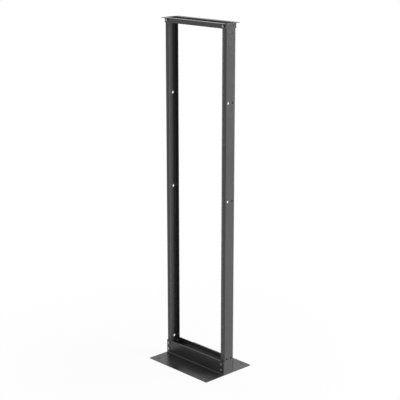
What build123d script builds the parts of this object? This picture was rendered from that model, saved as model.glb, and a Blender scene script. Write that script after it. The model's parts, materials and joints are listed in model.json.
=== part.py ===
from build123d import *
import os

# Two post open frame rack, 45 units high. Millimetres, +Z up, +X to the right of someone facing
# the front, -Y towards the front. The origin is on the floor, under the middle of the rack.

# Overall size
rack_height = 2133.6
rack_width = 515.9

# Posts: folded steel channels with the web outside and both flanges turned in
channel_depth = 76.2
flange_width = 31.75
channel_wall = 2.66
channel_bend = 2.5

# Base angles: bent plates that stand on the floor against the front and rear flanges
base_foot = 152.4
base_leg = 88.9
base_wall = 4.76
base_bend = 5.0
foot_corner = 3.0

# Top angles: light bent angles that tie the two posts together
top_shelf = 31.75
top_leg = 31.75
top_wall = 3.18
top_bend = 3.0

# Equipment holes: the universal pattern of three tapped holes in every rack unit, in a column set in
# from the outer face of the web
rack_unit = 44.45
unit_hole_rises = (6.35, 22.225, 38.1)
rail_hole_inset = 25.4
rail_hole = 5.5

# Side holes: pairs through the webs, where a neighbouring rack or a cable channel is bolted on
side_hole = 14.3
side_hole_pitch = 36.0
side_hole_heights = (101.6, 1092.2, 1676.4)

# Floor anchor holes in the feet, set in from the end and from the outer edge of each foot
anchor_hole = 17.5
anchor_from_end = 48.0
anchor_from_edge = 31.75

# Equipment holes between the measured ones have flat sides, to keep the solids light
plain_hole_sides = 8

# Places worked out from the sizes above
web_face = rack_width / 2
flange_face = channel_depth / 2
rail_across = web_face - rail_hole_inset
rail_space = rack_height - top_leg - base_leg
rack_units = int(rail_space // rack_unit)
rail_bottom = base_leg + (rail_space - rack_units * rack_unit) / 2
gauge_units = (0, rack_units // 2, rack_units - 1)
gauge_rises = (min(unit_hole_rises), max(unit_hole_rises))
anchor_across = web_face - anchor_from_end
anchor_forward = flange_face + base_foot - anchor_from_edge
drill_margin = 1.0


def channel_section():
    """Cross-section of the right-hand post, with rounded folds."""
    at_web = (Align.MAX, Align.CENTER)
    outside = Pos(web_face, 0) * Rectangle(flange_width, channel_depth, align=at_web)
    outside = fillet(outside.vertices().group_by(Axis.X)[-1], channel_bend + channel_wall)
    inside_depth = channel_depth - 2 * channel_wall
    inside = Pos(web_face - channel_wall, 0) * Rectangle(flange_width, inside_depth, align=at_web)
    inside = fillet(inside.vertices().group_by(Axis.X)[-1], channel_bend)
    return outside - inside


def equipment_holes():
    """Cutters for the column of equipment holes in the front flange of the right-hand post.

    The outer holes of the lowest, middle and highest unit, from which a rack is measured, are round.
    """
    half_depth = channel_wall / 2 + drill_margin
    round_bit = Rot(90, 0, 0) * Cylinder(rail_hole / 2, 2 * half_depth)
    flat_outline = RegularPolygon(rail_hole / 2, plain_hole_sides, major_radius=False)
    flat_bit = Rot(90, 0, 0) * extrude(flat_outline, half_depth, both=True)
    flange_middle = channel_wall / 2 - flange_face
    cutters = []
    for unit in range(rack_units):
        for rise in unit_hole_rises:
            is_gauge = unit in gauge_units and rise in gauge_rises
            bit = round_bit if is_gauge else flat_bit
            height = rail_bottom + unit * rack_unit + rise
            cutters.append(Pos(rail_across, flange_middle, height) * bit)
    return cutters


def side_holes():
    """Cutters for the pairs of holes through the web of the right-hand post."""
    bit = Rot(0, 90, 0) * Cylinder(side_hole / 2, channel_wall + 2 * drill_margin)
    return [
        Pos(web_face - channel_wall / 2, side * side_hole_pitch / 2, height) * bit
        for height in side_hole_heights
        for side in (-1, 1)
    ]


def right_post():
    """Channel from the floor to the top of the rack, drilled for equipment and for neighbours."""
    channel = extrude(channel_section(), rack_height)
    return channel - equipment_holes() - side_holes()


def bent_section(reach, rise, wall, bend):
    """Section of a bent plate with its outer corner at the origin: reach along x, rise along y."""
    corner = (Align.MIN, Align.MIN)
    plate = Rectangle(reach, rise, align=corner) - Pos(wall, wall) * Rectangle(reach, rise, align=corner)
    outer = plate.vertices().sort_by_distance((0, 0, 0))[0]
    plate = fillet(outer, bend + wall)
    inner = plate.vertices().sort_by_distance((wall, wall, 0))[0]
    return fillet(inner, bend)


def front_base_angle():
    """Foot and upright leg of the front base angle, with floor anchor holes and rounded toe corners."""
    section_plane = Plane(origin=(web_face, -flange_face, 0), x_dir=(0, -1, 0), z_dir=(-1, 0, 0))
    angle = extrude(section_plane * bent_section(base_foot, base_leg, base_wall, base_bend), rack_width)
    toe = angle.edges().filter_by(Axis.Z).group_by(Axis.Y)[0]
    angle = fillet(toe, foot_corner)
    bit = Cylinder(anchor_hole / 2, base_wall + 2 * drill_margin)
    return angle - [Pos(side * anchor_across, -anchor_forward, base_wall / 2) * bit for side in (-1, 1)]


def front_top_angle():
    """Shelf and hanging leg of the front top angle."""
    section_plane = Plane(origin=(-web_face, -flange_face, rack_height), x_dir=(0, -1, 0), z_dir=(1, 0, 0))
    return extrude(section_plane * bent_section(top_shelf, top_leg, top_wall, top_bend), rack_width)


post = right_post()
base_angle = front_base_angle()
top_angle = front_top_angle()
pieces = {
    "left_post": mirror(post, Plane.YZ),
    "right_post": post,
    "front_base_angle": base_angle,
    "rear_base_angle": mirror(base_angle, Plane.XZ),
    "front_top_angle": top_angle,
    "rear_top_angle": mirror(top_angle, Plane.XZ),
}

os.makedirs("parts", exist_ok=True)
for name, piece in pieces.items():
    export_step(piece, os.path.join("parts", name + ".step"))
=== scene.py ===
import json
import math

import bpy
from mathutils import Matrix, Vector


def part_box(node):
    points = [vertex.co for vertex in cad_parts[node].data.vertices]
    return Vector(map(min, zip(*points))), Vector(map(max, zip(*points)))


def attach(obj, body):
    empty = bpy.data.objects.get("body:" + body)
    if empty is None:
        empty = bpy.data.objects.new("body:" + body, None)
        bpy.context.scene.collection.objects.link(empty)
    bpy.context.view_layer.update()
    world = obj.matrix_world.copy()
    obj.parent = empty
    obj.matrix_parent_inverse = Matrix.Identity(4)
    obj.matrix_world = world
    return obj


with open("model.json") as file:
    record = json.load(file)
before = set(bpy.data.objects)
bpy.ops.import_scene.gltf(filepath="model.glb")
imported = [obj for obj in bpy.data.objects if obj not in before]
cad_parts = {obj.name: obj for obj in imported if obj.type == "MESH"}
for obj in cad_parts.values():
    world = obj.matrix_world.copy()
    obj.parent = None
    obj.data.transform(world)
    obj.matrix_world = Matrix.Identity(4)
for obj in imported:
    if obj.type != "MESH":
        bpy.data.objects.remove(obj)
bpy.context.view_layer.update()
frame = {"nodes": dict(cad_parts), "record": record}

# Posts: two channels folded from 2.7 mm steel sheet, punched while flat, then powder coated black.
# The web of each faces outwards, and both flanges turn in towards the bay where equipment hangs.
# Inside each channel the coat is painted darker as painted shade, and is rougher.
right_low, right_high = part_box("right_post")
POST_WALL = 0.00266
COAT_DARK = (0.034, 0.034, 0.035, 1.0)
COAT_PALE = (0.039, 0.039, 0.040, 1.0)
# Paler colour along the edges: worn coat, and a painted highlight.
COAT_RUB_AND_HIGHLIGHT = (0.16, 0.16, 0.165, 1.0)
COAT_RUB_AND_HIGHLIGHT_SHARE = 0.5
COAT_SPECULAR = 0.6
COAT_GRAIN_SCALE = 900.0
COAT_GRAIN_STRENGTH = 0.12
COAT_GRAIN_HEIGHT = 0.0002
COAT_CLOUD_SCALE = 7.0
EDGE_BREAK_SCALE = 60.0
POST_ROUGHNESS = (0.23, 0.28)
POST_RUB_AND_HIGHLIGHT_REACH = 0.0016
# Darker colour for the faces inside the channels: painted shade.
POST_INSIDE_PAINTED_SHADE = (0.028, 0.028, 0.029, 1.0)
POST_INSIDE_ROUGHER = 0.26
POST_INSIDE_STARTS = 0.70
POST_INSIDE_WHOLE = 0.95


def feed(tree, node, inputs):
    """Feeds a node's inputs from other nodes' sockets, or sets them to plain values."""
    for name, value in inputs.items():
        if isinstance(value, bpy.types.NodeSocket):
            tree.links.new(value, node.inputs[name])
        else:
            node.inputs[name].default_value = value


def add_node(tree, kind, inputs=None, **settings):
    """Adds a node with its settings, and feeds its inputs."""
    node = tree.nodes.new(kind)
    for name, value in settings.items():
        setattr(node, name, value)
    feed(tree, node, inputs or {})
    return node


def add_math(tree, operation, first, second):
    """One Math node on two sockets or numbers."""
    return add_node(tree, "ShaderNodeMath", {0: first, 1: second}, operation=operation).outputs[0]


def add_vector_math(tree, operation, *vectors):
    """One Vector Math node on one or two vectors."""
    inputs = dict(enumerate(vectors))
    return add_node(tree, "ShaderNodeVectorMath", inputs, operation=operation).outputs[0]


def split(tree, vector):
    """The three parts of a vector."""
    return add_node(tree, "ShaderNodeSeparateXYZ", {0: vector}).outputs


def mix_colour(tree, share, first, second):
    """A colour between two others, by a share that changes over the surface."""
    return add_node(tree, "ShaderNodeMix", {0: share, 6: first, 7: second}, data_type="RGBA").outputs[2]


def add_sockets(tree, inputs, outputs):
    """Gives a node group its named sockets, and returns its input and output nodes."""
    for name, (kind, value) in inputs.items():
        socket = tree.interface.new_socket(name, in_out="INPUT", socket_type=kind)
        if value is not None:
            socket.default_value = value
    for name, kind in outputs.items():
        tree.interface.new_socket(name, in_out="OUTPUT", socket_type=kind)
    return tree.nodes.new("NodeGroupInput"), tree.nodes.new("NodeGroupOutput")


def powder_skin_group():
    """Fine grain of a baked powder coat, and the slow clouds in its colour and gloss."""
    tree = bpy.data.node_groups.new("Powder skin", "ShaderNodeTree")
    given, made = add_sockets(
        tree,
        {
            "Position": ("NodeSocketVector", None),
            "Grain Scale": ("NodeSocketFloat", COAT_GRAIN_SCALE),
            "Cloud Scale": ("NodeSocketFloat", COAT_CLOUD_SCALE),
        },
        {"Grain": "NodeSocketFloat", "Cloud": "NodeSocketFloat"},
    )
    grain = add_node(tree, "ShaderNodeTexNoise", {
        "Vector": given.outputs["Position"],
        "Scale": given.outputs["Grain Scale"],
        "Detail": 2.0,
        "Roughness": 0.55,
    })
    cloud = add_node(tree, "ShaderNodeTexNoise", {
        "Vector": given.outputs["Position"],
        "Scale": given.outputs["Cloud Scale"],
        "Detail": 4.0,
        "Roughness": 0.6,
    })
    spread = add_node(tree, "ShaderNodeMapRange", {
        "Value": cloud.outputs["Fac"],
        "From Min": 0.3,
        "From Max": 0.7,
    })
    feed(tree, made, {"Grain": grain.outputs["Fac"], "Cloud": spread.outputs["Result"]})
    return tree


def rub_and_highlight_edge_group():
    """Mask of the paler line along the outer edges of a piece, partly worn coat and partly a painted
    highlight, from the box that it fills.

    Of a spot's distances to the sides of the box, the middle one is small only near an edge.
    """
    tree = bpy.data.node_groups.new("Rubbed and highlit edges", "ShaderNodeTree")
    given, made = add_sockets(
        tree,
        {
            "Position": ("NodeSocketVector", None),
            "Low Corner": ("NodeSocketVector", None),
            "High Corner": ("NodeSocketVector", None),
            "Reach": ("NodeSocketFloat", POST_RUB_AND_HIGHLIGHT_REACH),
        },
        {"Rub And Highlight": "NodeSocketFloat"},
    )
    position = given.outputs["Position"]
    above = add_vector_math(tree, "SUBTRACT", position, given.outputs["Low Corner"])
    below = add_vector_math(tree, "SUBTRACT", given.outputs["High Corner"], position)
    across, along, up = split(tree, add_vector_math(tree, "MINIMUM", above, below))
    lesser = add_math(tree, "MINIMUM", across, along)
    greater = add_math(tree, "MAXIMUM", across, along)
    to_edge = add_math(tree, "MAXIMUM", lesser, add_math(tree, "MINIMUM", greater, up))
    breaks = add_node(tree, "ShaderNodeTexNoise", {
        "Vector": position,
        "Scale": EDGE_BREAK_SCALE,
        "Detail": 3.0,
    })
    noise_mean = 0.5
    uneven = add_math(tree, "DIVIDE", breaks.outputs["Fac"], noise_mean)
    rub_and_highlight_mask = add_node(tree, "ShaderNodeMapRange", {
        "Value": to_edge,
        "From Max": add_math(tree, "MULTIPLY", given.outputs["Reach"], uneven),
        "To Min": 1.0,
        "To Max": 0.0,
    }, interpolation_type="SMOOTHSTEP")
    feed(tree, made, {"Rub And Highlight": rub_and_highlight_mask.outputs["Result"]})
    return tree


def channel_inside_group():
    """Mask of the faces inside a channel, from how deep a spot lies behind the web and the flanges.

    It grows through the inner part of the wall, so a cut edge shades from the outer coat to the painted
    shade inside.
    """
    tree = bpy.data.node_groups.new("Channel inside", "ShaderNodeTree")
    given, made = add_sockets(
        tree,
        {
            "Position": ("NodeSocketVector", None),
            "Outer Corner": ("NodeSocketVector", None),
            "Wall": ("NodeSocketFloat", POST_WALL),
        },
        {"Inside": "NodeSocketFloat"},
    )
    either_side = add_vector_math(tree, "ABSOLUTE", given.outputs["Position"])
    depth = add_vector_math(tree, "SUBTRACT", given.outputs["Outer Corner"], either_side)
    behind_web, behind_flange, _ = split(tree, depth)
    inside = add_node(tree, "ShaderNodeMapRange", {
        "Value": add_math(tree, "MINIMUM", behind_web, behind_flange),
        "From Min": add_math(tree, "MULTIPLY", given.outputs["Wall"], POST_INSIDE_STARTS),
        "From Max": add_math(tree, "MULTIPLY", given.outputs["Wall"], POST_INSIDE_WHOLE),
    })
    feed(tree, made, {"Inside": inside.outputs["Result"]})
    return tree


powder_skin = powder_skin_group()
rub_and_highlight_edges = rub_and_highlight_edge_group()
channel_inside = channel_inside_group()


def start_material(name):
    """A new material, with its node tree, its shader and the position of each spot."""
    material = bpy.data.materials.new(name)
    material.use_nodes = True
    tree = material.node_tree
    position = add_node(tree, "ShaderNodeTexCoord").outputs["Object"]
    return material, tree, tree.nodes["Principled BSDF"], position


def coat_material(node, roughness, rub_and_highlight_reach):
    """Black powder coat for one CAD node: grain, clouds, and a paler line on its edges, of worn coat
    and a painted highlight.
    """
    material, tree, shader, position = start_material(node + "_coat")
    skin = add_node(tree, "ShaderNodeGroup", {"Position": position}, node_tree=powder_skin)
    low_corner, high_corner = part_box(node)
    rub_and_highlight_mask = add_node(tree, "ShaderNodeGroup", {
        "Position": position,
        "Low Corner": low_corner,
        "High Corner": high_corner,
        "Reach": rub_and_highlight_reach,
    }, node_tree=rub_and_highlight_edges)
    clouded = mix_colour(tree, skin.outputs["Cloud"], COAT_DARK, COAT_PALE)
    # The paler edge line is partly worn coat and partly a painted highlight.
    rub_and_highlight_share = add_math(tree, "MULTIPLY", rub_and_highlight_mask.outputs["Rub And Highlight"], COAT_RUB_AND_HIGHLIGHT_SHARE)
    smoothest, roughest = roughness
    gloss = add_node(tree, "ShaderNodeMapRange", {
        "Value": skin.outputs["Cloud"],
        "To Min": smoothest,
        "To Max": roughest,
    })
    bump = add_node(tree, "ShaderNodeBump", {
        "Height": skin.outputs["Grain"],
        "Strength": COAT_GRAIN_STRENGTH,
        "Distance": COAT_GRAIN_HEIGHT,
    })
    feed(tree, shader, {
        "Base Color": mix_colour(tree, rub_and_highlight_share, clouded, COAT_RUB_AND_HIGHLIGHT),
        "Roughness": gloss.outputs["Result"],
        "Specular IOR Level": COAT_SPECULAR,
        "Normal": bump.outputs["Normal"],
    })
    return material


def paint_shade_and_dull_inside(material):
    """Paints shade on the faces inside a channel by darkening their coat, and roughens it."""
    tree = material.node_tree
    shader = tree.nodes["Principled BSDF"]
    mask = add_node(tree, "ShaderNodeGroup", {
        "Position": add_node(tree, "ShaderNodeTexCoord").outputs["Object"],
        "Outer Corner": right_high,
        "Wall": POST_WALL,
    }, node_tree=channel_inside)
    inside = mask.outputs["Inside"]
    outer_coat = shader.inputs["Base Color"].links[0].from_socket
    outer_roughness = shader.inputs["Roughness"].links[0].from_socket
    rougher = add_math(tree, "MULTIPLY", inside, POST_INSIDE_ROUGHER)
    # Painted shade: the coat inside the channel is mixed darker, and made rougher.
    feed(tree, shader, {
        "Base Color": mix_colour(tree, inside, outer_coat, POST_INSIDE_PAINTED_SHADE),
        "Roughness": add_math(tree, "ADD", outer_roughness, rougher),
    })
    return material


def dress(node, material):
    """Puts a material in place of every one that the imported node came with."""
    slots = frame["nodes"][node].data.materials
    slots.clear()
    slots.append(material)


for post in ("left_post", "right_post"):
    dress(post, paint_shade_and_dull_inside(coat_material(post, POST_ROUGHNESS, POST_RUB_AND_HIGHLIGHT_REACH)))

# Base angles: 4.8 mm hot rolled plate bent to a wide foot and an upright leg, coated like the posts.
# The skin of the plate leaves its coat a little duller than that of the posts.
# The legs are bolted to the front and rear flanges, and the feet are anchored to the floor.
BASE_PLATE = 0.00476
BASE_ROUGHNESS = (0.29, 0.34)
BASE_RUB_AND_HIGHLIGHT_REACH = 0.0024
for angle in ("front_base_angle", "rear_base_angle"):
    dress(angle, coat_material(angle, BASE_ROUGHNESS, BASE_RUB_AND_HIGHLIGHT_REACH))

# Top angles: light bent angles that tie the posts together at the top, coated like them.
# Each has a flat shelf level with the post ends and a hanging leg with one bolt into each post.
TOP_PLATE = 0.00318
TOP_ROUGHNESS = POST_ROUGHNESS
TOP_RUB_AND_HIGHLIGHT_REACH = POST_RUB_AND_HIGHLIGHT_REACH
for angle in ("front_top_angle", "rear_top_angle"):
    dress(angle, coat_material(angle, TOP_ROUGHNESS, TOP_RUB_AND_HIGHLIGHT_REACH))

# Equipment hole threads: each punched hole is tapped for the screws that hold equipment.
# The coat is cut back a little at the mouth, and the thread narrows the hole behind it.
# The roots of the thread are painted near black as painted shade, and its crests are worn to dark
# steel.
MM = 0.001
RACK_UNIT = 0.04445
HOLES_PER_UNIT = 3
THREAD_LIP = 0.0064
THREAD_MOUTH = 0.0052
THREAD_CREST = 0.0047
THREAD_SINK = 0.0005
THREAD_PROUD = 0.00005
THREAD_SIDES = 12
THREAD_WELD = 0.000005
THREAD_CREST_STEEL = (0.036, 0.036, 0.037, 1.0)
THREAD_WORN_STEEL = (0.052, 0.051, 0.050, 1.0)
# Near black for the roots of the thread: painted shade.
THREAD_ROOT_PAINTED_SHADE = (0.004, 0.004, 0.004, 1.0)
THREAD_CLOUD_SCALE = 220.0
THREAD_TURN_SCALE = 400.0
THREAD_TURN_STRENGTH = 0.6
THREAD_TURN_HEIGHT = 0.0003
THREAD_ROUGHNESS = 0.5
THREAD_SPECULAR = 0.25


def geometry_tree(name, inputs):
    """An empty Geometry Nodes tree that takes points and named sizes, and gives back a mesh."""
    tree = bpy.data.node_groups.new(name, "GeometryNodeTree")
    tree.is_modifier = True
    sockets = {"Geometry": ("NodeSocketGeometry", None)}
    sockets.update(inputs)
    given, made = add_sockets(tree, sockets, {"Geometry": "NodeSocketGeometry"})
    return tree, given.outputs, made.inputs["Geometry"]


def raised(tree, mesh, height):
    """The mesh, moved up its own axis."""
    lift = add_node(tree, "ShaderNodeCombineXYZ", {"Z": height}).outputs[0]
    moved = add_node(tree, "GeometryNodeTransform", {"Geometry": mesh, "Translation": lift})
    return moved.outputs["Geometry"]


def ring(tree, sides, upper, lower, top, bottom, flip=False):
    """An open ring of faces from a radius at one height on its axis to a radius at a lower one."""
    cone = add_node(tree, "GeometryNodeMeshCone", {
        "Vertices": sides,
        "Radius Top": upper,
        "Radius Bottom": lower,
        "Depth": add_math(tree, "SUBTRACT", top, bottom),
    }, fill_type="NONE")
    band = raised(tree, cone.outputs["Mesh"], bottom)
    if flip:
        band = add_node(tree, "GeometryNodeFlipFaces", {"Mesh": band}).outputs["Mesh"]
    return band


def join(tree, *shapes):
    """Joins several shapes of a Geometry Nodes tree."""
    node = tree.nodes.new("GeometryNodeJoinGeometry")
    for shape in shapes:
        tree.links.new(shape, node.inputs["Geometry"])
    return node.outputs["Geometry"]


def end_tree(tree, points, shape, turn, finish, result):
    """Sets the shape on each point along its outward direction, realizes it and gives it its finish."""
    outward = add_node(tree, "GeometryNodeInputNamedAttribute", {"Name": "outward"},
                       data_type="FLOAT_VECTOR")
    facing = add_node(tree, "FunctionNodeAlignRotationToVector",
                      {"Vector": outward.outputs["Attribute"]}, axis="Z")
    spin = add_node(tree, "FunctionNodeAxisAngleToRotation", {"Angle": turn})
    turned = add_node(tree, "FunctionNodeRotateRotation", {
        "Rotation": facing.outputs["Rotation"],
        "Rotate By": spin.outputs["Rotation"],
    }, rotation_space="LOCAL")
    placed = add_node(tree, "GeometryNodeInstanceOnPoints", {
        "Points": points,
        "Instance": shape,
        "Rotation": turned.outputs["Rotation"],
    })
    real = add_node(tree, "GeometryNodeRealizeInstances", {"Geometry": placed.outputs["Instances"]})
    coated = add_node(tree, "GeometryNodeSetMaterial", {
        "Geometry": real.outputs["Geometry"],
        "Material": finish,
    })
    tree.links.new(coated.outputs["Geometry"], result)


def tapped_hole_tree():
    """A thin lip on the flange, a short countersink and the bore of the thread, closed behind."""
    length = ("NodeSocketFloat", 0.0)
    tree, given, result = geometry_tree("Tapped holes", {
        "Lip": length,
        "Mouth": length,
        "Crest": length,
        "Sink": length,
        "Depth": length,
        "Proud": length,
        "Sides": ("NodeSocketInt", THREAD_SIDES),
        "Finish": ("NodeSocketMaterial", None),
    })
    lip, mouth, crest = [
        add_math(tree, "MULTIPLY", given[width], 0.5)
        for width in ("Lip", "Mouth", "Crest")
    ]
    proud, sides = given["Proud"], given["Sides"]
    sunk = add_math(tree, "MULTIPLY", given["Sink"], -1.0)
    inner_face = add_math(tree, "MULTIPLY", given["Depth"], -1.0)
    behind = add_math(tree, "SUBTRACT", inner_face, proud)
    shape = join(
        tree,
        ring(tree, sides, mouth, lip, proud, 0.0),
        ring(tree, sides, mouth, crest, proud, sunk, flip=True),
        ring(tree, sides, crest, crest, sunk, behind, flip=True),
        ring(tree, sides, lip, crest, inner_face, behind),
        ring(tree, sides, lip, lip, 0.0, inner_face),
    )
    closed = add_node(tree, "GeometryNodeMergeByDistance", {"Geometry": shape, "Distance": THREAD_WELD})
    end_tree(tree, given["Geometry"], closed.outputs["Geometry"], 0.0, given["Finish"], result)
    return tree


def place(name, points, outwards, tree, values):
    """Makes one plain mesh of a Geometry Nodes tree on these points, and sets it on the rack."""
    mesh = bpy.data.meshes.new(name + "_points")
    mesh.from_pydata(points, [], [])
    facing = mesh.attributes.new("outward", "FLOAT_VECTOR", "POINT")
    facing.data.foreach_set("vector", [number for outward in outwards for number in outward])
    source = bpy.data.objects.new(name + "_points", mesh)
    bpy.context.scene.collection.objects.link(source)
    modifier = source.modifiers.new(name, "NODES")
    modifier.node_group = tree
    sockets = {
        item.name: item.identifier
        for item in tree.interface.items_tree
        if item.in_out == "INPUT"
    }
    for socket, value in values.items():
        modifier[sockets[socket]] = value
    bpy.context.view_layer.update()
    depsgraph = bpy.context.evaluated_depsgraph_get()
    result = bpy.data.meshes.new_from_object(source.evaluated_get(depsgraph))
    source.modifiers.remove(modifier)
    bpy.data.objects.remove(source)
    piece = bpy.data.objects.new(name, result)
    bpy.context.scene.collection.objects.link(piece)
    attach(piece, "root")
    return piece


def thread_material():
    """Dark oiled steel of a tapped thread, with painted shade in its roots and crests that catch a
    little light.
    """
    material, tree, shader, position = start_material("tapped_thread_steel")
    skin = add_node(tree, "ShaderNodeGroup", {
        "Position": position,
        "Cloud Scale": THREAD_CLOUD_SCALE,
    }, node_tree=powder_skin)
    worn = mix_colour(tree, skin.outputs["Cloud"], THREAD_CREST_STEEL, THREAD_WORN_STEEL)
    turns = add_node(tree, "ShaderNodeTexWave", {"Vector": position, "Scale": THREAD_TURN_SCALE},
                     wave_type="BANDS", bands_direction="Y")
    bump = add_node(tree, "ShaderNodeBump", {
        "Height": turns.outputs["Fac"],
        "Strength": THREAD_TURN_STRENGTH,
        "Distance": THREAD_TURN_HEIGHT,
    })
    # Painted shade: the roots of the thread are mixed near black.
    feed(tree, shader, {
        "Base Color": mix_colour(tree, turns.outputs["Fac"], THREAD_ROOT_PAINTED_SHADE, worn),
        "Roughness": THREAD_ROUGHNESS,
        "Specular IOR Level": THREAD_SPECULAR,
        "Normal": bump.outputs["Normal"],
    })
    return material


mounts = {mount["name"]: mount for mount in frame["record"]["mounts"]}
lowest_unit = mounts["rail_bottom_unit"]
highest_unit = mounts["rail_top_unit"]
hole_across = lowest_unit["dims"]["spacing_x_mm"] * MM / 2
hole_step = lowest_unit["dims"]["spacing_y_mm"] * MM / (HOLES_PER_UNIT - 1)
unit_count = round((highest_unit["pos_m"][2] - lowest_unit["pos_m"][2]) / RACK_UNIT) + 1
thread_points = []
for unit in range(unit_count):
    for hole in range(HOLES_PER_UNIT):
        rise = (hole - (HOLES_PER_UNIT - 1) / 2) * hole_step
        height = lowest_unit["pos_m"][2] + unit * RACK_UNIT + rise
        for side in (-1, 1):
            thread_points.append((side * hole_across, right_low.y, height))
equipment_threads = place(
    "equipment_hole_threads",
    thread_points,
    [(0, -1, 0)] * len(thread_points),
    tapped_hole_tree(),
    {
        "Lip": THREAD_LIP,
        "Mouth": THREAD_MOUTH,
        "Crest": THREAD_CREST,
        "Sink": THREAD_SINK,
        "Depth": POST_WALL,
        "Proud": THREAD_PROUD,
        "Sides": THREAD_SIDES,
        "Finish": thread_material(),
    },
)

# Frame bolts: dull zinc plated hex bolts, 3/8 inch, each with a flat washer and a nut in the channel.
# Two at each end of a base angle and one at each end of a top angle clamp it to the post's flange.
# The nuts and washers inside the channels are painted darker than the heads, as painted shade.
BOLT_INSET = 0.0200
BOLT_WIDTH = 0.0095
BOLT_HEX = 0.0143
BOLT_HEAD = 0.0062
BOLT_FACE = 0.0136
BOLT_FACE_WALL = 0.0004
BOLT_NUT = 0.0083
BOLT_WASHER = 0.0210
BOLT_WASHER_WALL = 0.0018
BOLT_END = 0.0050
BOLT_THREAD_PITCH = 0.0016
BOLT_THREAD_SHARE = 0.05
BOLT_CHAMFER_SHARE = 0.475
BOLT_CUTTER_PAST = 0.1
BOLT_ROUND_SIDES = 36
BOLT_END_SIDES = 16
BOLT_END_RINGS = 8
BOLT_SEED = 7
BASE_BOLT_RISES = (0.0325, 0.0706)
TOP_BOLT_DROP = 0.0168
HEAD_ZINC = ((0.27, 0.27, 0.28, 1.0), (0.40, 0.40, 0.41, 1.0))
# Darker zinc for the nuts and washers: painted shade.
NUT_ZINC_PAINTED_SHADE = ((0.11, 0.11, 0.115, 1.0), (0.17, 0.17, 0.175, 1.0))
ZINC_GRAIN_SCALE = 2400.0
ZINC_GRAIN_STRENGTH = 0.1
ZINC_GRAIN_HEIGHT = 0.0001
ZINC_CLOUD_SCALE = 90.0
ZINC_ROUGHNESS = (0.44, 0.32)


def chamfered_hex(tree, width, height, bottom):
    """A hex prism on its bottom, cut by a turned cone that slopes 30 degrees from its top face.

    The cone reaches past both ends of the prism, so that no two of their faces lie in one plane.
    """
    prism = add_node(tree, "GeometryNodeMeshCylinder", {
        "Vertices": 6,
        "Radius": add_math(tree, "DIVIDE", width, math.sqrt(3)),
        "Depth": height,
    })
    middle = add_math(tree, "ADD", bottom, add_math(tree, "MULTIPLY", height, 0.5))
    flat_top = add_math(tree, "MULTIPLY", width, BOLT_CHAMFER_SHARE)
    past = add_math(tree, "MULTIPLY", height, BOLT_CUTTER_PAST)
    reach = add_math(tree, "ADD", height, past)
    slope = math.sqrt(3)
    cutter = add_node(tree, "GeometryNodeMeshCone", {
        "Vertices": BOLT_ROUND_SIDES,
        "Radius Top": add_math(tree, "SUBTRACT", flat_top, add_math(tree, "MULTIPLY", past, slope)),
        "Radius Bottom": add_math(tree, "ADD", flat_top, add_math(tree, "MULTIPLY", reach, slope)),
        "Depth": add_math(tree, "ADD", reach, past),
    })
    cutter_bottom = add_math(tree, "SUBTRACT", bottom, past)
    cut = add_node(tree, "GeometryNodeMeshBoolean", operation="INTERSECT")
    tree.links.new(raised(tree, prism.outputs["Mesh"], middle), cut.inputs["Mesh 2"])
    tree.links.new(raised(tree, cutter.outputs["Mesh"], cutter_bottom), cut.inputs["Mesh 2"])
    return cut.outputs["Mesh"]


def threaded_end(tree, width, length, pitch, bottom):
    """The end of a bolt, with grooves in its side for the thread."""
    end = add_node(tree, "GeometryNodeMeshCylinder", {
        "Vertices": BOLT_END_SIDES,
        "Side Segments": BOLT_END_RINGS,
        "Radius": add_math(tree, "MULTIPLY", width, 0.5),
        "Depth": length,
    })
    position = tree.nodes.new("GeometryNodeInputPosition").outputs[0]
    turns = add_math(tree, "DIVIDE", split(tree, position)["Z"], pitch)
    wave = add_math(tree, "COSINE", add_math(tree, "MULTIPLY", turns, 2 * math.pi), 0.0)
    groove = add_math(tree, "MULTIPLY", wave, BOLT_THREAD_SHARE)
    girth = add_math(tree, "ADD", groove, 1.0 - BOLT_THREAD_SHARE)
    slim = add_node(tree, "ShaderNodeCombineXYZ", {"X": girth, "Y": girth, "Z": 1.0}).outputs[0]
    grooved = add_node(tree, "GeometryNodeSetPosition", {
        "Geometry": end.outputs["Mesh"],
        "Position": add_vector_math(tree, "MULTIPLY", position, slim),
    })
    middle = add_math(tree, "ADD", bottom, add_math(tree, "MULTIPLY", length, 0.5))
    return raised(tree, grooved.outputs["Geometry"], middle)


def hex_fastener_tree():
    """A round seat and a hex with a turned chamfer, with or without the threaded end of the bolt.

    The seat is the turned face under a bolt's head, or the washer under a nut.
    """
    length = ("NodeSocketFloat", 0.0)
    tree, given, result = geometry_tree("Hex fasteners", {
        "Hex": length,
        "Hex Height": length,
        "Seat": length,
        "Seat Wall": length,
        "Bolt": length,
        "Bolt End": length,
        "Thread Pitch": length,
        "Threaded End": ("NodeSocketBool", False),
        "Seed": ("NodeSocketInt", BOLT_SEED),
        "Finish": ("NodeSocketMaterial", None),
    })
    wall, height = given["Seat Wall"], given["Hex Height"]
    disc = add_node(tree, "GeometryNodeMeshCylinder", {
        "Vertices": BOLT_ROUND_SIDES,
        "Radius": add_math(tree, "MULTIPLY", given["Seat"], 0.5),
        "Depth": wall,
    })
    seat = raised(tree, disc.outputs["Mesh"], add_math(tree, "MULTIPLY", wall, 0.5))
    hex_top = add_math(tree, "ADD", wall, height)
    through = add_node(tree, "GeometryNodeSwitch", {
        "Switch": given["Threaded End"],
        "True": threaded_end(tree, given["Bolt"], given["Bolt End"], given["Thread Pitch"], hex_top),
    }, input_type="GEOMETRY")
    shape = join(tree, chamfered_hex(tree, given["Hex"], height, wall), seat, through.outputs["Output"])
    angle = add_node(tree, "FunctionNodeRandomValue", {
        "Max": math.pi / 3,
        "Seed": given["Seed"],
    }, data_type="FLOAT")
    spin = next(socket for socket in angle.outputs if socket.enabled)
    end_tree(tree, given["Geometry"], shape, spin, given["Finish"], result)
    return tree


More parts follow.
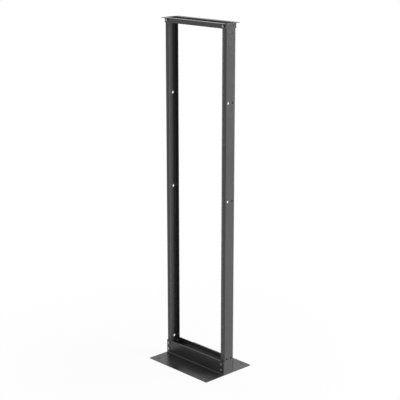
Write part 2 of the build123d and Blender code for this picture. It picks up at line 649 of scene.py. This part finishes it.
def zinc_material(name, tarnished, clean):
    """Dull zinc plate: a grey metal with faint smears and a slightly grainy gloss."""
    material, tree, shader, position = start_material(name)
    skin = add_node(tree, "ShaderNodeGroup", {
        "Position": position,
        "Grain Scale": ZINC_GRAIN_SCALE,
        "Cloud Scale": ZINC_CLOUD_SCALE,
    }, node_tree=powder_skin)
    tarnished_roughness, clean_roughness = ZINC_ROUGHNESS
    gloss = add_node(tree, "ShaderNodeMapRange", {
        "Value": skin.outputs["Cloud"],
        "To Min": tarnished_roughness,
        "To Max": clean_roughness,
    })
    bump = add_node(tree, "ShaderNodeBump", {
        "Height": skin.outputs["Grain"],
        "Strength": ZINC_GRAIN_STRENGTH,
        "Distance": ZINC_GRAIN_HEIGHT,
    })
    feed(tree, shader, {
        "Base Color": mix_colour(tree, skin.outputs["Cloud"], tarnished, clean),
        "Metallic": 1.0,
        "Roughness": gloss.outputs["Result"],
        "Normal": bump.outputs["Normal"],
    })
    return material


flange_front = right_low.y
bolt_across = right_high.x - BOLT_INSET
bolt_seats = [(rise, BASE_PLATE) for rise in BASE_BOLT_RISES]
bolt_seats.append((right_high.z - TOP_BOLT_DROP, TOP_PLATE))
head_points, head_ways, nut_points, nut_ways = [], [], [], []
for front in (1, -1):
    for rise, plate in bolt_seats:
        for side in (-1, 1):
            head_points.append((side * bolt_across, front * (flange_front - plate), rise))
            head_ways.append((0, -front, 0))
            nut_points.append((side * bolt_across, front * (flange_front + POST_WALL), rise))
            nut_ways.append((0, front, 0))
bolt_sizes = {
    "Hex": BOLT_HEX,
    "Bolt": BOLT_WIDTH,
    "Bolt End": BOLT_END,
    "Thread Pitch": BOLT_THREAD_PITCH,
    "Seed": BOLT_SEED,
}
head_sizes = bolt_sizes | {
    "Hex Height": BOLT_HEAD,
    "Seat": BOLT_FACE,
    "Seat Wall": BOLT_FACE_WALL,
    "Threaded End": False,
    "Finish": zinc_material("bolt_head_zinc", *HEAD_ZINC),
}
# Painted shade: the nuts and washers take the darker zinc.
nut_sizes = bolt_sizes | {
    "Hex Height": BOLT_NUT,
    "Seat": BOLT_WASHER,
    "Seat Wall": BOLT_WASHER_WALL,
    "Threaded End": True,
    "Finish": zinc_material("nut_and_washer_shaded_zinc", *NUT_ZINC_PAINTED_SHADE),
}
fastener_tree = hex_fastener_tree()
bolt_heads = place("frame_bolt_heads", head_points, head_ways, fastener_tree, head_sizes)
bolt_nuts = place("frame_bolt_nuts", nut_points, nut_ways, fastener_tree, nut_sizes)

# Studio: a wide white floor under a white room, two large soft lamps, and the camera.
# The floor keeps a pale shadow, and the camera stands to the right of the front, higher than the rack.
FLOOR_REACH = 60.0
FLOOR_WHITE = (0.92, 0.92, 0.92, 1.0)
FLOOR_GLOW = 0.95
FLOOR_GLOW_UNDER_FEET = 0.2
FLOOR_SHADE_START = 0.5
FLOOR_SHADE_END = 2.0
ROOM_WHITE = (1.0, 1.0, 1.0, 1.0)
ROOM_LIGHT = 0.2
CAMERA_PLACE = (4.752, -4.496, 2.790)
CAMERA_TILT = -14.88
CAMERA_TURN = 46.57
CAMERA_LENS = 100.85
CAMERA_SENSOR = 36.0
foot_low, foot_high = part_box("front_base_angle")


def seen_directly(tree):
    """1 where a surface is seen by the camera, or in a reflection, and 0 where it only gives light."""
    rays = tree.nodes.new("ShaderNodeLightPath").outputs
    mirrored = add_math(tree, "MAXIMUM", rays["Is Glossy Ray"], rays["Is Transmission Ray"])
    return add_math(tree, "MAXIMUM", rays["Is Camera Ray"], mirrored)


def floor_material():
    """Matt white floor, seen as white as the room away from the rack, but not under its feet."""
    material = bpy.data.materials.new("studio_floor_white")
    material.use_nodes = True
    tree = material.node_tree
    tree.nodes.clear()
    matt = add_node(tree, "ShaderNodeBsdfDiffuse", {"Color": FLOOR_WHITE})
    glow = add_node(tree, "ShaderNodeEmission", {"Strength": 1.0})
    spot = add_node(tree, "ShaderNodeTexCoord").outputs["Object"]
    across, forward, _ = split(tree, add_vector_math(tree, "ABSOLUTE", spot))
    beside = add_math(tree, "GREATER_THAN", across, foot_high.x)
    behind = add_math(tree, "LESS_THAN", forward, -foot_high.y)
    before = add_math(tree, "GREATER_THAN", forward, -foot_low.y)
    in_the_open = add_math(tree, "MAXIMUM", beside, add_math(tree, "MAXIMUM", behind, before))
    clear = add_math(tree, "MAXIMUM", in_the_open, FLOOR_GLOW_UNDER_FEET)
    away = add_node(tree, "ShaderNodeVectorMath", {0: spot}, operation="LENGTH").outputs["Value"]
    lift = add_node(tree, "ShaderNodeMapRange", {
        "Value": away,
        "From Min": FLOOR_SHADE_START,
        "From Max": FLOOR_SHADE_END,
        "To Min": FLOOR_GLOW,
        "To Max": 1.0,
    }, interpolation_type="SMOOTHSTEP").outputs["Result"]
    share = add_math(tree, "MULTIPLY", seen_directly(tree), add_math(tree, "MULTIPLY", clear, lift))
    mixed = add_node(tree, "ShaderNodeMixShader", {0: share, 1: matt.outputs[0], 2: glow.outputs[0]})
    add_node(tree, "ShaderNodeOutputMaterial", {"Surface": mixed.outputs[0]})
    return material


floor_mesh = bpy.data.meshes.new("studio_floor")
corners = [(x * FLOOR_REACH, y * FLOOR_REACH, 0.0) for x, y in ((-1, -1), (1, -1), (1, 1), (-1, 1))]
floor_mesh.from_pydata(corners, [], [(0, 1, 2, 3)])
floor_mesh.materials.append(floor_material())
floor = bpy.data.objects.new("studio_floor", floor_mesh)
bpy.context.scene.collection.objects.link(floor)

room = bpy.data.worlds.new("white_room")
bpy.context.scene.world = room
room.use_nodes = True
room_tree = room.node_tree
room_strength = add_node(room_tree, "ShaderNodeMapRange", {
    "Value": seen_directly(room_tree),
    "To Min": ROOM_LIGHT,
    "To Max": 1.0,
})
feed(room_tree, room_tree.nodes["Background"], {
    "Color": ROOM_WHITE,
    "Strength": room_strength.outputs["Result"],
})


def soft_lamp(name, stand, aim, width, height, watts):
    """A large softbox at stand, turned towards aim, that lights the coat but does not glare in it."""
    lamp = bpy.data.lights.new(name, "AREA")
    lamp.shape = "RECTANGLE"
    lamp.size = width
    lamp.size_y = height
    lamp.energy = watts
    holder = bpy.data.objects.new(name, lamp)
    holder.location = stand
    holder.visible_glossy = False
    holder.rotation_euler = (Vector(aim) - Vector(stand)).to_track_quat("-Z", "Y").to_euler()
    bpy.context.scene.collection.objects.link(holder)


soft_lamp(
    "rear_right_softbox",
    stand=(4.2, 3.6, 1.7),
    aim=(0.0, 0.0, 1.3),
    width=3.0,
    height=2.6,
    watts=600.0,
)
soft_lamp(
    "left_softbox",
    stand=(-5.4, 1.5, 0.9),
    aim=(0.0, 0.0, 0.9),
    width=2.6,
    height=1.6,
    watts=200.0,
)

camera_data = bpy.data.cameras.new("studio_camera")
camera_data.sensor_width = CAMERA_SENSOR
camera_data.lens = CAMERA_LENS
camera = bpy.data.objects.new("studio_camera", camera_data)
camera.location = CAMERA_PLACE
camera.rotation_euler = (math.radians(90.0 + CAMERA_TILT), 0.0, math.radians(CAMERA_TURN))
bpy.context.scene.collection.objects.link(camera)
bpy.context.scene.camera = camera
bpy.context.scene.view_settings.view_transform = "Standard"
